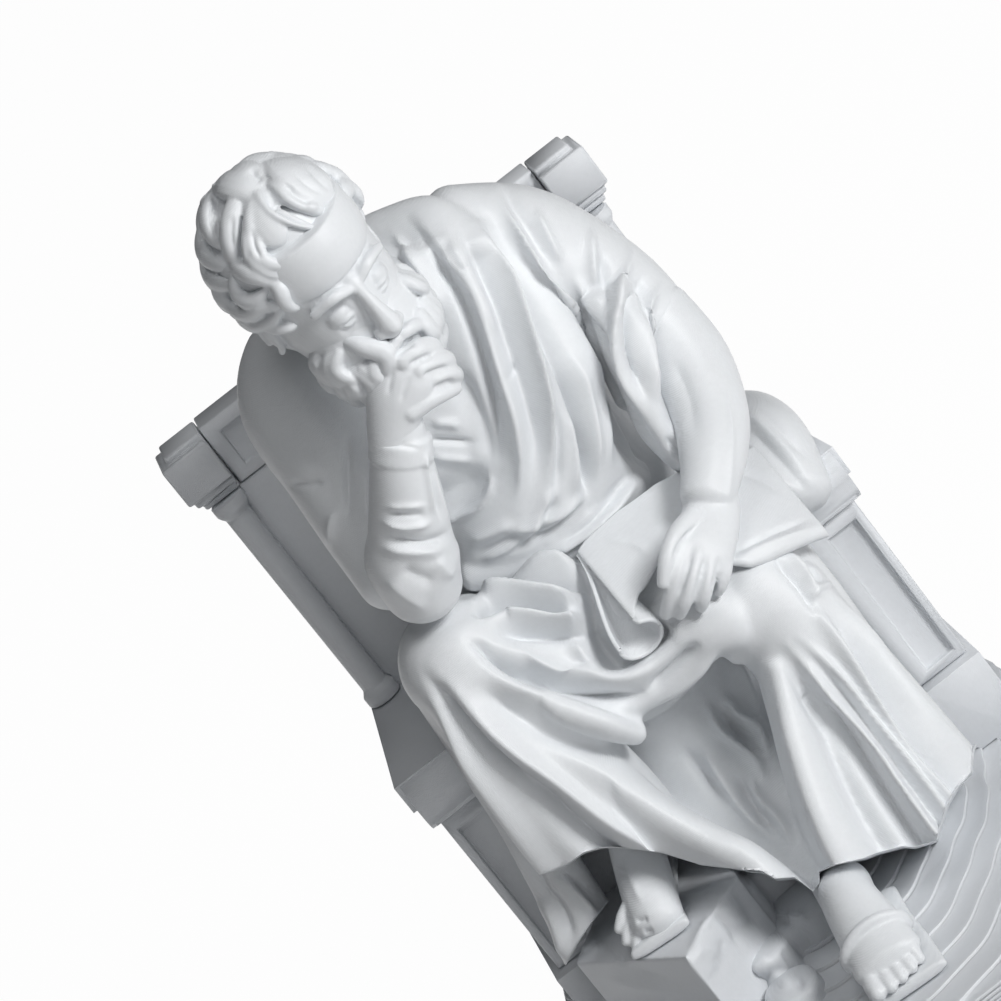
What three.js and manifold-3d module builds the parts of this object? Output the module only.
// A small statue of a bearded thinker seated on a high-backed stone chair.
// Millimetres, +Z up, the sitter faces -Y, and the sitter's left is +X.
import * as THREE from "three";
import { mergeVertices } from "three/addons/utils/BufferGeometryUtils.js";
import Module from "manifold-3d";

const wasm = await Module();
wasm.setup();

// Driving sizes
const gap = 0.3; // clearance between pieces that touch
const overlap = 0.01; // by which forms joined into one piece run into each other
const base = { width: 112, depth: 140, height: 8 };
// a mound of thin terraces: level under the chair, then falling away from its centre in ever wider ovals
const ground = {
  crown: 13, fall: 8.5, level: 0.65, reachX: 38, reachY: 75, centreY: 34, inset: 1.2, step: 0.8,
};
const seat = { height: 39, halfWidth: 35.7, front: 12 }; // height above the ground's crown
const chair = { halfWidth: 49, railHeight: 12, front: 5, back: 64 };
const side = { width: 11.5, inset: 1.5, setBack: 3, recess: 1.5, frame: 3.5 };
const arm = { height: 59.7, slab: 6, cove: 4, width: 13, splay: 2.3, scroll: 5.5 };
const column = { radius: 2.6, ring: 0.9, ringHeight: 2.2, fromBack: 11.5, fromSide: 6.2 };
const capital = { height: 11.7, chamfer: 3, width: 10, depth: 14, foot: 110.3 };
const slab = { height: 1.5, inset: 1.8 };
const back = { thickness: 10, railSetBack: 3.5, recess: 1.2, frame: 6 };
const footrest = { height: 17 }; // of the block under the right foot, above the ground
const sole = 2.4; // thickness of a sandal
// degrees for the turns, and the rise of the head's centre above the seat
const headPose = { x: -4.5, y: -13, rise: 109, bow: 18, turn: 18, lean: -5 };

// Levels and planes that follow from them
const groundTop = base.height + ground.crown;
const seatTop = groundTop + seat.height;
const armTop = groundTop + arm.height;
const armBottom = armTop - arm.slab - arm.cove;
const railTop = groundTop + chair.railHeight;
const capitalFoot = groundTop + capital.foot;
const capitalTop = capitalFoot + capital.height;
const footrestTop = groundTop + footrest.height;
const columnX = chair.halfWidth + 0.5 - column.fromSide;
const columnY = chair.back - column.fromBack;
const panelFront = chair.back - back.thickness;

const X = new THREE.Vector3(1, 0, 0);
const Z = new THREE.Vector3(0, 0, 1);

// Corner places and triangles as a solid
function solidFrom(places, triangles) {
  const [vertProperties, triVerts] = [new Float32Array(places), new Uint32Array(triangles)];
  return new wasm.Manifold(new wasm.Mesh({ numProp: 3, vertProperties, triVerts }));
}

// A closed three.js geometry as a solid, its vertices merged
function solidOf(geometry) {
  const bare = geometry.index ? geometry.toNonIndexed() : geometry.clone();
  bare.deleteAttribute("normal");
  bare.deleteAttribute("uv");
  const merged = mergeVertices(bare, 1e-4);
  return solidFrom(merged.attributes.position.array, merged.index.array);
}

const joined = (forms) => (grow) => forms.map((form) => form(grow)).reduce((all, one) => all.add(one));

// An upright block between two corners; like every form here it can be built swollen by grow.
const block = (low, high) => (grow) => {
  const size = high.map((v, i) => v - low[i] + 2 * grow);
  const centre = high.map((v, i) => (v + low[i]) / 2);
  return solidOf(new THREE.BoxGeometry(...size).translate(...centre));
};

// An outline in the ground plan, anticlockwise, raised from one height to another.
const prism = (outline, bottom, top) => (grow) => {
  const corners = outline.map(([x, y]) => new THREE.Vector2(x, y));
  const n = corners.length;
  const along = corners.map((c, i) => corners[(i + 1) % n].clone().sub(c).normalize());
  const outward = along.map((d) => new THREE.Vector2(d.y, -d.x));
  const moved = corners.map((c, i) => {
    const [before, after] = [outward[(i + n - 1) % n], outward[i]];
    return before.clone().add(after).multiplyScalar(grow / (1 + before.dot(after))).add(c);
  });
  const shape = new THREE.Shape(moved);
  const made = new THREE.ExtrudeGeometry(shape, { depth: top - bottom + 2 * grow, bevelEnabled: false });
  return solidOf(made.translate(0, 0, bottom - grow));
};

// A turned post: [radius, z] pairs from the foot to the top, on the axis x, y.
const turned = (profile, x, y) => (grow) => {
  const bottom = profile[0][1];
  const top = profile[profile.length - 1][1];
  const moved = (z) => z + (z === top ? grow : z === bottom ? -grow : 0);
  const points = [
    new THREE.Vector2(0, bottom - grow),
    ...profile.map(([r, z]) => new THREE.Vector2(r + grow, moved(z))),
    new THREE.Vector2(0, top + grow),
  ];
  return solidOf(new THREE.LatheGeometry(points, 16).rotateX(Math.PI / 2).translate(x, y, 0));
};

// Catmull-Rom value between the rows of a table, at row number t.
function between(rows, t) {
  const i = Math.min(Math.floor(t), rows.length - 2);
  const f = t - i;
  const at = (n) => rows[Math.max(0, Math.min(rows.length - 1, n))];
  return rows[i].map((p1, c) => {
    const [p0, p2, p3] = [at(i - 1)[c], at(i + 1)[c], at(i + 2)[c]];
    return p1 + 0.5 * f * (p2 - p0 + f * (2 * p0 - 5 * p1 + 4 * p2 - p3 + f * (3 * (p1 - p2) + p3 - p0)));
  });
}

// A closed body through oval sections. Each station is [x, y, height, half width, half depth]; heights count
// from lift, the width lies along the direction across, and each end is domed by a share of its radius.
// Folds are ripples round the section: their number, their depth as a share of the radius from the first
// station to the last, and the turn in radians by which they wind on the way.
const plainLoft = { lift: 0, across: X, sides: 16, rings: 9, dome: 0.6, power: 2, pose: null, folds: null };
function loft(stations, choices = {}) {
  const { lift, across, sides, rings, dome, power, pose, folds } = { ...plainLoft, ...choices };
  return (grow = 0) => {
    const step = (stations.length - 1) / (rings - 1);
    const rows = Array.from({ length: rings }, (_, i) => between(stations, i * step));
    const centres = rows.map(([x, y, h]) => new THREE.Vector3(x, y, h + lift));
    const tangents = centres.map((c, i) =>
      centres[Math.min(i + 1, rings - 1)].clone().sub(centres[Math.max(i - 1, 0)]).normalize(),
    );
    const points = [];
    const ring = (i, shift, share) => {
      const t = tangents[i];
      const wide = across.clone().addScaledVector(t, -across.dot(t)).normalize();
      const deep = t.clone().cross(wide);
      const c = centres[i].clone().addScaledVector(t, shift);
      const way = i / (rings - 1);
      const depth = folds ? folds.depth[0] + way * (folds.depth[1] - folds.depth[0]) : 0;
      for (let j = 0; j < sides; j++) {
        const a = (2 * Math.PI * j) / sides;
        const [u, v] = [Math.cos(a), Math.sin(a)].map((s) => Math.sign(s) * Math.abs(s) ** (2 / power));
        const ripple = folds ? 1 + depth * Math.cos(folds.count * a + folds.wind * way) : 1;
        const point = c.clone();
        point.addScaledVector(wide, u * share * (ripple * rows[i][3] + grow));
        points.push(point.addScaledVector(deep, v * share * (ripple * rows[i][4] + grow)));
      }
    };
    const reach = (i) => dome * Math.min(rows[i][3], rows[i][4]) + grow;
    const flat = dome > 0 ? 0 : grow; // a flat end moves out by grow, a domed one has its own rings
    const domeAngles = dome > 0 ? [Math.PI / 3, Math.PI / 6] : [];
    const far = rings - 1;
    for (const a of domeAngles) ring(0, -reach(0) * Math.sin(a), Math.cos(a));
    rows.forEach((_, i) => ring(i, i === 0 ? -flat : i === far ? flat : 0, 1));
    for (const a of [...domeAngles].reverse()) ring(far, reach(far) * Math.sin(a), Math.cos(a));
    const total = points.length / sides;
    points.push(
      centres[0].clone().addScaledVector(tangents[0], -reach(0)),
      centres[far].clone().addScaledVector(tangents[far], reach(far)),
    );
    if (pose) points.forEach((p) => p.applyMatrix4(pose));
    const faces = [];
    for (let k = 0; k < total - 1; k++)
      for (let j = 0; j < sides; j++) {
        const [a, b] = [k * sides + j, k * sides + ((j + 1) % sides)];
        faces.push(a, b, b + sides, a, b + sides, a + sides);
      }
    for (let j = 0; j < sides; j++) {
      const n = (j + 1) % sides;
      faces.push(total * sides, n, j, total * sides + 1, (total - 1) * sides + j, (total - 1) * sides + n);
    }
    return solidFrom(points.flatMap((p) => p.toArray()), faces);
  };
}

// Materials: one cool white plastic, a shade darker on the chair than on the figure.
const plastic = (color) => new THREE.MeshStandardMaterial({ color, roughness: 0.42, metalness: 0 });
const chairWhite = plastic(0xdfe2e6);
const figureWhite = plastic(0xe9ebee);

// Pieces are kept in the order in which they cut one another: each gives way to all before it.
const made = [];
const group = new THREE.Group();
function piece(name, material, form) {
  let solid = form(0);
  for (const other of made) {
    const [a, b] = [solid.boundingBox(), other.swollen.boundingBox()];
    if ([0, 1, 2].some((k) => a.min[k] > b.max[k] || b.min[k] > a.max[k])) continue;
    solid = solid.subtract(other.swollen);
  }
  solid = solid.decompose().sort((a, b) => b.volume() - a.volume())[0];
  made.push({ name, swollen: form(gap) });
  const out = solid.getMesh();
  const geometry = new THREE.BufferGeometry()
    .setAttribute("position", new THREE.BufferAttribute(new Float32Array(out.vertProperties), 3))
    .setIndex(new THREE.BufferAttribute(new Uint32Array(out.triVerts), 1));
  const mesh = new THREE.Mesh(geometry.toNonIndexed(), material);
  mesh.geometry.computeVertexNormals();
  mesh.name = name;
  group.add(mesh);
}

// The outline of the base: square with soft corners, drawn in a little towards the back
function baseOutline(inset) {
  const [w, d] = [base.width / 2 - inset, base.depth / 2 - inset];
  const right = [
    [w - 12, -d], [w - 3, 6 - d], [w, 20 - d], [w, 0],
    [w - 2.2, d - 32], [w - 5, d - 10], [w - 7, d - 3], [w - 12, d],
  ];
  return [...right, ...right.map(([x, y]) => [-x, y]).reverse()];
}

// The height of the ground at a place
function groundAt(x, y) {
  const far = Math.hypot(x / ground.reachX, (y - ground.centreY) / ground.reachY);
  return groundTop - ground.fall * Math.max(0, far - ground.level);
}

function addBase() {
  piece("base_plinth", chairWhite, prism(baseOutline(0), 0, base.height));
  const bottom = base.height + gap;
  const terrace = (i) => {
    const share = ground.level + ((i + 0.5) * ground.step) / ground.fall;
    const oval = new THREE.EllipseCurve(0, ground.centreY, share * ground.reachX, share * ground.reachY);
    const outline = oval.getPoints(32).slice(1).map((p) => p.toArray());
    return prism(outline, bottom, groundTop - i * ground.step);
  };
  const count = Math.floor((groundTop - bottom) / ground.step);
  const terraces = joined(Array.from({ length: count }, (_, i) => terrace(i)));
  const rim = prism(baseOutline(ground.inset), bottom, groundTop);
  piece("ground_slab", chairWhite, (grow) => terraces(grow).intersect(rim(grow)));
}

// One side of the chair, mirrored by way = 1 for the sitter's left and -1 for the right
function addChairSide(name, way) {
  const across = (x0, x1, y0, y1, z0, z1) =>
    block([Math.min(way * x0, way * x1), y0, z0], [Math.max(way * x0, way * x1), y1, z1]);
  const inner = seat.halfWidth + gap;
  const outer = chair.halfWidth;
  const rail = [
    [way * inner, chair.front],
    [way * outer, chair.front],
    [way * outer, chair.back],
    [way * inner, chair.back],
  ];
  if (way < 0) rail.reverse();
  piece(name + "_base_rail", chairWhite, prism(rail, base.height + ground.crown / 2, railTop));

  // the upright side panel, with a sunk field on its front and on its outer face
  const panelOuter = outer - side.inset;
  const panelInner = panelOuter - side.width;
  const front = chair.front + side.setBack;
  const [low, high] = [railTop + gap, armBottom - gap];
  const body = across(panelInner, panelOuter, front, panelFront - gap, low, high);
  const beyond = 5; // how far a cutting block stands out of the face that it cuts
  const frontField = across(
    panelInner + side.frame, panelOuter - side.frame / 2,
    front - beyond, front + side.recess,
    low + side.frame / 2, high - side.frame,
  );
  const outerField = across(
    panelOuter - side.recess, panelOuter + beyond,
    front + 2 * side.frame, panelFront - 2 * side.frame,
    low + side.frame, high - side.frame,
  );
  piece(name + "_side_panel", chairWhite, (grow) =>
    grow > 0 ? body(grow) : body(0).subtract(frontField(0)).subtract(outerField(0)),
  );

  // the armrest: a slab over a cove, its outer edge splayed out towards a scrolled front end
  const armInner = outer - arm.width;
  const plan = (drop) => {
    const line = [
      [way * armInner, front - drop],
      [way * (outer + arm.splay / 2 - drop), front - drop],
      [way * (outer - arm.splay - drop), panelFront - gap],
      [way * armInner, panelFront - gap],
    ];
    return way < 0 ? line.reverse() : line;
  };
  const scroll = loft(
    [
      [way * (armInner + 1), front + 2, armTop - arm.scroll, arm.scroll, arm.scroll],
      [way * (outer + arm.splay / 2 - 1), front + 2, armTop - arm.scroll, arm.scroll, arm.scroll],
    ],
    { across: Z, rings: 2, dome: 0, sides: 16 },
  );
  piece(name + "_armrest", chairWhite, joined([
    prism(plan(0), armTop - arm.slab, armTop),
    prism(plan(2), armBottom, armTop - arm.slab + overlap),
    scroll,
  ]));

  // the post at the back, on the armrest and under its capital
  const [foot, top] = [armTop + gap, capitalFoot - gap];
  const wide = column.radius + column.ring;
  piece(name + "_colonnette", chairWhite, turned(
    [
      [wide, foot], [wide, foot + column.ringHeight], [column.radius, foot + 1.6 * column.ringHeight],
      [column.radius, top - 1.6 * column.ringHeight], [wide, top - column.ringHeight], [wide, top],
    ],
    way * columnX, columnY,
  ));

  // the block-shaped capital with a bevelled foot and a thinner slab on top
  const [c0, c1] = [outer + 0.5 - capital.width, outer + 0.5];
  const capitalFront = chair.back - capital.depth;
  const plate = (shrink) => {
    const line = [
      [way * c0, capitalFront + shrink], [way * (c1 - shrink), capitalFront + shrink],
      [way * (c1 - shrink), chair.back - shrink], [way * c0, chair.back - shrink],
    ];
    return way < 0 ? line.reverse() : line;
  };
  const [step, blockFoot] = [capitalFoot + capital.chamfer / 2, capitalFoot + capital.chamfer];
  piece(name + "_capital", chairWhite, joined([
    prism(plate(capital.chamfer * 0.7), capitalFoot, step),
    prism(plate(capital.chamfer * 0.35), step - overlap, blockFoot),
    prism(plate(0), blockFoot - overlap, capitalTop),
    prism(plate(slab.inset), capitalTop - overlap, capitalTop + slab.height),
  ]));
}

function addChair() {
  const inner = chair.halfWidth + 0.5 - capital.width - gap;
  const seatBack = panelFront - gap;
  piece("seat_block", chairWhite, block(
    [-seat.halfWidth, seat.front, groundTop - ground.crown / 4],
    [seat.halfWidth, seatBack, seatTop],
  ));
  addChairSide("left", 1);
  addChairSide("right", -1);

  // the back slab stands between the base rails and rises behind the armrests to the top rail
  const seatFoot = groundTop - ground.crown / 4;
  const low = block([-seat.halfWidth, panelFront, seatFoot], [seat.halfWidth, chair.back, railTop]);
  const high = block([-columnX, panelFront, railTop + gap], [columnX, chair.back, capitalFoot - gap]);
  const field = block(
    [-columnX + back.frame, chair.back - back.recess, railTop + back.frame],
    [columnX - back.frame, chair.back + 5, capitalFoot - back.frame],
  );
  const neck = block(
    [-seat.halfWidth, panelFront, railTop - overlap],
    [seat.halfWidth, chair.back, railTop + gap + overlap],
  );
  const whole = joined([low, neck, high]);
  piece("back_slab", chairWhite, (grow) => (grow > 0 ? whole(grow) : whole(0).subtract(field(0))));

  // the rail between the capitals, with a sunk field on its front
  const railFront = chair.back - capital.depth + back.railSetBack;
  const rail = block([-inner, railFront, capitalFoot], [inner, chair.back - 1, capitalTop + slab.height]);
  const railField = block(
    [-inner + back.frame / 2, railFront - 5, capitalFoot + 2.5],
    [inner - back.frame / 2, railFront + back.recess, capitalTop - 1.5],
  );
  piece("top_rail", chairWhite, (grow) => (grow > 0 ? rail(grow) : rail(0).subtract(railField(0))));
}

// The block under the right foot, and two rough rocks beside it
function addFootrest() {
  const corners = [[-43.8, -5.6], [-26.5, -34.2], [-11, -19.5], [-9, 11.5], [-33.5, 11.5], [-37.5, 4.6]];
  piece("footrest_block", chairWhite, prism(corners, base.height + ground.crown / 3, footrestTop));
  const rock = (x, y, halfWidth, halfDepth, top) =>
    loft(
      [[x, y, base.height + 2, halfWidth, halfDepth], [x, y, top - 3, halfWidth * 0.9, halfDepth * 0.9]],
      { rings: 3, sides: 10, dome: 0.35, power: 2.6 },
    );
  piece("step_rock", chairWhite, rock(-8, -17, 12, 12, groundTop + footrest.height * 0.45));
  piece("front_rock", chairWhite, rock(-15.5, -33, 6, 7, groundTop + footrest.height * 0.2));
}

// The head's own frame: its centre at the ears, facing -Y, then leant, bowed and turned.
function headFrame() {
  const [bow, turn, lean] = [headPose.bow, headPose.turn, headPose.lean].map((d) => (d * Math.PI) / 180);
  return new THREE.Matrix4()
    .makeTranslation(headPose.x, headPose.y, seatTop + headPose.rise)
    .multiply(new THREE.Matrix4().makeRotationZ(turn))
    .multiply(new THREE.Matrix4().makeRotationX(bow))
    .multiply(new THREE.Matrix4().makeRotationY(lean));
}

function addHead() {
  const pose = headFrame();
  const inHead = (stations, more = {}) => loft(stations, { pose, ...more });
  piece("head", figureWhite, inHead(
    [
      [0, -8, -19, 5, 5], [0, -6.5, -14, 8.6, 9], [0, -3.5, -6, 11, 12.5],
      [0, -1, 2, 12, 14.6], [0, 0.5, 10, 12, 14.4], [0, 1, 15, 10, 12],
    ],
    { rings: 9, dome: 0.45 },
  ));
  piece("headband", figureWhite, inHead(
    [[0, -0.2, 5, 12.8, 15.9], [0, 0.4, 14.2, 12.4, 15.4]],
    { rings: 2, dome: 0, sides: 18 },
  ));
  piece("hair", figureWhite, inHead(
    [
      [0, 6.5, -13, 7.5, 6.5], [0, 4.5, -6, 12.5, 11.8], [0, 3, 3, 14.4, 15],
      [0, 1.5, 11, 14.3, 15.8], [0, 0.8, 17, 12.5, 14.5], [0, 1.5, 20.5, 8.5, 10],
    ],
    { rings: 8, dome: 0.4, sides: 14 },
  ));
  piece("beard", figureWhite, inHead(
    [[0, -7, -7, 11, 9.2], [0, -9, -14, 10.2, 9], [0, -9, -20, 7.3, 7]],
    { rings: 5, sides: 12, dome: 0.5 },
  ));
  piece("neck", figureWhite, loft(
    [[1, 11, 91, 10, 10], [-2, 1, 99, 9.5, 10], [-3.5, -5, 104, 9, 9]],
    { lift: seatTop, rings: 3, sides: 10 },
  ));
}

// Heights of the upper body count from the seat.
function addRightArm() {
  const up = { lift: seatTop };
  piece("right_hand", figureWhite, loft(
    [
      [-7.6, -22, 82, 5, 5], [-4, -23.5, 87.5, 7.5, 6.5],
      [-0.5, -24.5, 92, 8.3, 6.5], [1.5, -23.5, 96, 6, 5.5],
    ],
    { ...up, sides: 14, rings: 7 },
  ));
  piece("right_cuff", figureWhite, loft(
    [[-18.9, -18.8, 63.4, 8.3, 8.3], [-14, -21, 71.5, 6.9, 6.9], [-8.6, -22.8, 79.6, 5.4, 5.4]],
    { ...up, sides: 14, rings: 4, dome: 0 },
  ));
  piece("right_forearm", figureWhite, loft(
    [
      [-22.3, -14.5, 57, 8.6, 8.6], [-20.8, -16.5, 61, 8.9, 8.9],
      [-17.5, -19, 67, 7.6, 7.6], [-9, -22.6, 79.4, 4.4, 4.4],
    ],
    { ...up, sides: 14, rings: 7, dome: 0.9 },
  ));
  piece("right_sleeve", figureWhite, loft(
    [
      [-14, 17, 91, 12, 11], [-19.5, 12, 86.5, 11.7, 12.5], [-21, 4, 76, 10.6, 11.5],
      [-22, -4, 65, 10.2, 10.5], [-23.8, -10.5, 57, 8.6, 8.8],
    ],
    { ...up, rings: 7, sides: 14 },
  ));
}

function addScroll() {
  const slope = new THREE.Vector3(0, -0.85, -0.52);
  piece("scroll_page", figureWhite, loft(
    [[4, -16.5, 32.3, 12.5, 1.3], [20, -13.5, 32, 12.8, 1.3], [38, -5, 25.5, 11, 1.3]],
    { lift: seatTop, across: slope, power: 6, dome: 0, rings: 6, sides: 12 },
  ));
  piece("scroll_curl", figureWhite, loft(
    [[3, -6.5, 38.5, 3, 4], [0.5, -27, 26, 4.6, 4.6]],
    { lift: seatTop, rings: 3, sides: 14, dome: 0 },
  ));
}

function addLeftArm() {
  const up = { lift: seatTop };
  piece("left_hand", figureWhite, loft(
    [
      [24.6, -17, 35.4, 4.8, 4.6], [19.5, -20.5, 34.5, 6.3, 4.5],
      [14.8, -24, 31.8, 6.6, 4.2], [11.5, -27.5, 27.6, 5.4, 3.4],
    ],
    { ...up, across: Z, sides: 12, rings: 6 },
  ));
  piece("left_forearm", figureWhite, loft(
    [
      [38, 13, 59, 8, 8.5], [37.8, 7, 50, 8.4, 8.4], [35.2, -2, 42.6, 7.3, 7.3],
      [30.6, -10, 38.6, 6.1, 6.1], [25.4, -16.3, 35.7, 4.9, 4.8],
    ],
    { ...up, rings: 7, sides: 14 },
  ));
  piece("left_sleeve", figureWhite, loft(
    [
      [17, 17, 89.5, 13, 11.5], [26, 18, 83, 12.3, 13], [31, 18, 74.5, 11.5, 13],
      [35, 16, 65, 10.3, 12], [37, 13, 58, 8.4, 10],
    ],
    { ...up, rings: 7, sides: 14 },
  ));
}

function addTorso() {
  const up = { lift: seatTop };
  piece("torso", figureWhite, loft(
    [
      [0, 37, 7, 30, 16], [2, 31, 28, 26, 20], [4, 22, 50, 27, 20],
      [4, 16, 72, 29, 18.5], [4, 15, 85, 26, 15], [1, 11, 94, 13, 11],
    ],
    { ...up, rings: 7, sides: 16, dome: 0.3 },
  ));
  // the mantle hangs from the left shoulder and is rolled into a collar behind the neck
  piece("shoulder_mantle", figureWhite, joined([
    loft(
      [
        [17, 13, 92, 11, 12], [14.5, 8.5, 80, 13.5, 12], [10.5, 6.5, 65, 15.5, 11.5],
        [5, 8, 50, 18.5, 11.5], [2, 11.5, 42, 21, 12],
      ],
      { ...up, rings: 9, sides: 40, dome: 0.4, folds: { count: 10, depth: [0.05, 0.07], wind: 2.5 } },
    ),
    loft(
      [
        [-8, 19, 98, 6, 5], [3, 21, 99, 6, 5], [11, 17, 98, 6.5, 6],
        [17, 12, 95.5, 7, 6.5], [18, 4, 90, 6, 6],
      ],
      { ...up, across: new THREE.Vector3(0, 0.3, 1), rings: 7, sides: 12 },
    ),
  ]));
  piece("waist_roll", figureWhite, loft(
    [
      [-15, 7, 42, 3, 3], [-10, 3.5, 41.5, 4, 4], [2, 1.5, 39.5, 4.2, 4.2],
      [17, 5, 41.5, 4.2, 4.2], [27, 12, 43, 3, 3],
    ],
    { ...up, across: Z, rings: 7, sides: 8 },
  ));
}

function addRobe() {
  const up = { lift: seatTop };
  piece("right_knee_drape", figureWhite, loft(
    [
      [-16, 37, 15, 13.5, 13], [-19, 22, 21, 13.5, 13.5],
      [-23, 5, 30.5, 12.5, 12.5], [-26, -9, 37.5, 11, 11.5],
    ],
    { ...up, rings: 7, sides: 14, dome: 0.95 },
  ));
  piece("left_knee_drape", figureWhite, loft(
    [
      [16, 37, 14, 13.5, 13], [18, 20, 15, 13.5, 12.5],
      [21, 0, 15.5, 12.3, 11.3], [21.5, -15, 14.5, 11.5, 10.5],
    ],
    { ...up, rings: 7, sides: 14, dome: 0.95 },
  ));
  // the lap is spanned by two swags, a flat one below the belly and a round one between the knees
  const apronSlope = new THREE.Vector3(0, 0.5, 0.86);
  const bridgeSlope = new THREE.Vector3(0, 0.8, 0.6);
  piece("lap_robe", figureWhite, joined([
    loft(
      [
        [0, 46, 13, 30, 12], [0, 34, 15, 27, 15], [-1, 18, 17, 20, 14],
        [-2, 3, 15, 17, 12], [-3, -5, 13, 15, 8],
      ],
      { ...up, rings: 6, sides: 14, dome: 0.6 },
    ),
    loft(
      [
        [-18.7, -12, 23.5, 7, 7], [-8.9, -12, 19.4, 7.5, 7],
        [1.9, -14, 19.1, 7, 7], [11.6, -17, 21.2, 6.5, 7],
      ],
      { ...up, across: bridgeSlope, rings: 5, sides: 12 },
    ),
    loft(
      [
        [-23.6, -8, 33.5, 12, 10], [-13.8, -5, 29.4, 13, 10.5], [-4, -5, 26.3, 12.5, 9.5],
        [5.9, -7, 24.9, 11, 9], [14.7, -9, 22.5, 9, 9],
      ],
      { ...up, across: apronSlope, rings: 6, sides: 14 },
    ),
  ]));
  const drape = (stations, folds) =>
    loft(stations, { ...up, rings: 6, dome: 0, sides: 5 * folds.count, folds });
  // from the knee one long fold runs down and across to the other foot
  piece("right_leg_drape", figureWhite, joined([
    drape(
      [[-26, -10, 35, 10.8, 11.5], [-25.3, -10.5, 18, 11.8, 13], [-24.5, -10, 1, 12.4, 14]],
      { count: 9, depth: [0.02, 0.13], wind: 0.4 },
    ),
    loft(
      [
        [-21.6, -15, 19.4, 5.5, 6], [-18.2, -16.5, 6.4, 6, 6], [-14.3, -19, -3.1, 6, 6],
        [-11, -22.5, -11.2, 5.6, 6], [-7.9, -26.5, -19, 5, 6], [-6, -29.5, -24, 5, 6],
      ],
      { ...up, rings: 7, sides: 12, dome: 0.2 },
    ),
  ]));
  piece("left_leg_drape", figureWhite, drape(
    [
      [22.8, -14.5, 12, 11, 11.5], [22.2, -15, -5, 12.2, 14],
      [19.6, -16.5, -20, 14.8, 17], [18, -18, -34, 16.2, 19],
    ],
    { count: 11, depth: [0.02, 0.09], wind: 0.3 },
  ));
  piece("centre_drape", figureWhite, drape(
    [[-6, 1, 22, 15, 10], [-3, -2, 2, 14, 13.5], [0, -5, -10, 13, 14], [4, -13, -24, 12, 18]],
    { count: 7, depth: [0.03, 0.1], wind: -0.8 },
  ));
  piece("right_side_drape", figureWhite, loft(
    [[-34, 14, 28, 5, 9], [-36, 3, 18, 5, 6], [-38, 0, 0, 5, 5], [-40, 2, -20, 6.5, 5]],
    { ...up, rings: 6, sides: 20, dome: 0.3, folds: { count: 4, depth: [0, 0.14], wind: 0 } },
  ));
  piece("armrest_drape", figureWhite, loft(
    [[38, 38, 4.3, 8, 7], [41, 26, 6.3, 7.6, 6.5], [42, 14, 4.3, 7, 7], [40, 5, -2.7, 6.2, 6.5]],
    { lift: armTop, rings: 7, sides: 25, dome: 0.7, folds: { count: 5, depth: [0.08, 0.12], wind: 1 } },
  ));
}

function addFeet() {
  // the right foot rests on the block, drawn back under the knee
  const right = { lift: footrestTop + gap };
  piece("right_sandal", figureWhite, loft(
    [[-18.5, 4, 5], [-24, -10, 5.6], [-28.5, -22.5, 6]].map(([x, y, w]) => [x, y, sole / 2, w, sole / 2]),
    { ...right, power: 3, rings: 5, sides: 14, dome: 0.4 },
  ));
  piece("right_foot", figureWhite, joined([
    loft(
      [
        [-19, 2, sole + 5, 4.3, 5], [-21.8, -5, sole + 6, 4.8, 6],
        [-25.2, -13, sole + 4, 5.3, 4.5], [-28, -20, sole + 2.5, 5.4, 2.7],
      ],
      { ...right, rings: 6, sides: 12, dome: 0.6 },
    ),
    loft(
      [[-20.5, -1, sole + 6, 4.8, 5.4], [-21.5, -3, sole + 22, 5.5, 6]],
      { ...right, rings: 3, sides: 12 },
    ),
  ]));

  // the left foot stands forward on the sloping ground
  const path = [[4, -27], [3, -37], [2, -47], [1, -56]];
  const floor = path.map(([x, y]) => groundAt(x, y) + gap);
  const [soleWidths, widths, heights] = [[6, 6.3, 7.2, 7.6], [5.6, 6, 6.8, 7], [6.5, 7.5, 5.2, 3.2]];
  piece("left_sandal", figureWhite, loft(
    path.map(([x, y], i) => [x, y, floor[i] + sole / 2, soleWidths[i], sole / 2]),
    { power: 3, rings: 6, sides: 14, dome: 0.4 },
  ));
  piece("left_foot", figureWhite, joined([
    loft(
      path.map(([x, y], i) => [x, y, floor[i] + sole + heights[i], widths[i], heights[i]]),
      { rings: 6, sides: 12 },
    ),
    loft([[4, -28, floor[0] + 8, 5.6, 6.2], [7, -21, floor[0] + 19, 6, 6.5]], { rings: 3, sides: 12 }),
  ]));
}

addBase();
addChair();
addFootrest();
addHead();
addScroll();
addRightArm();
addLeftArm();
addTorso();
addFeet();
addRobe();

export default group;
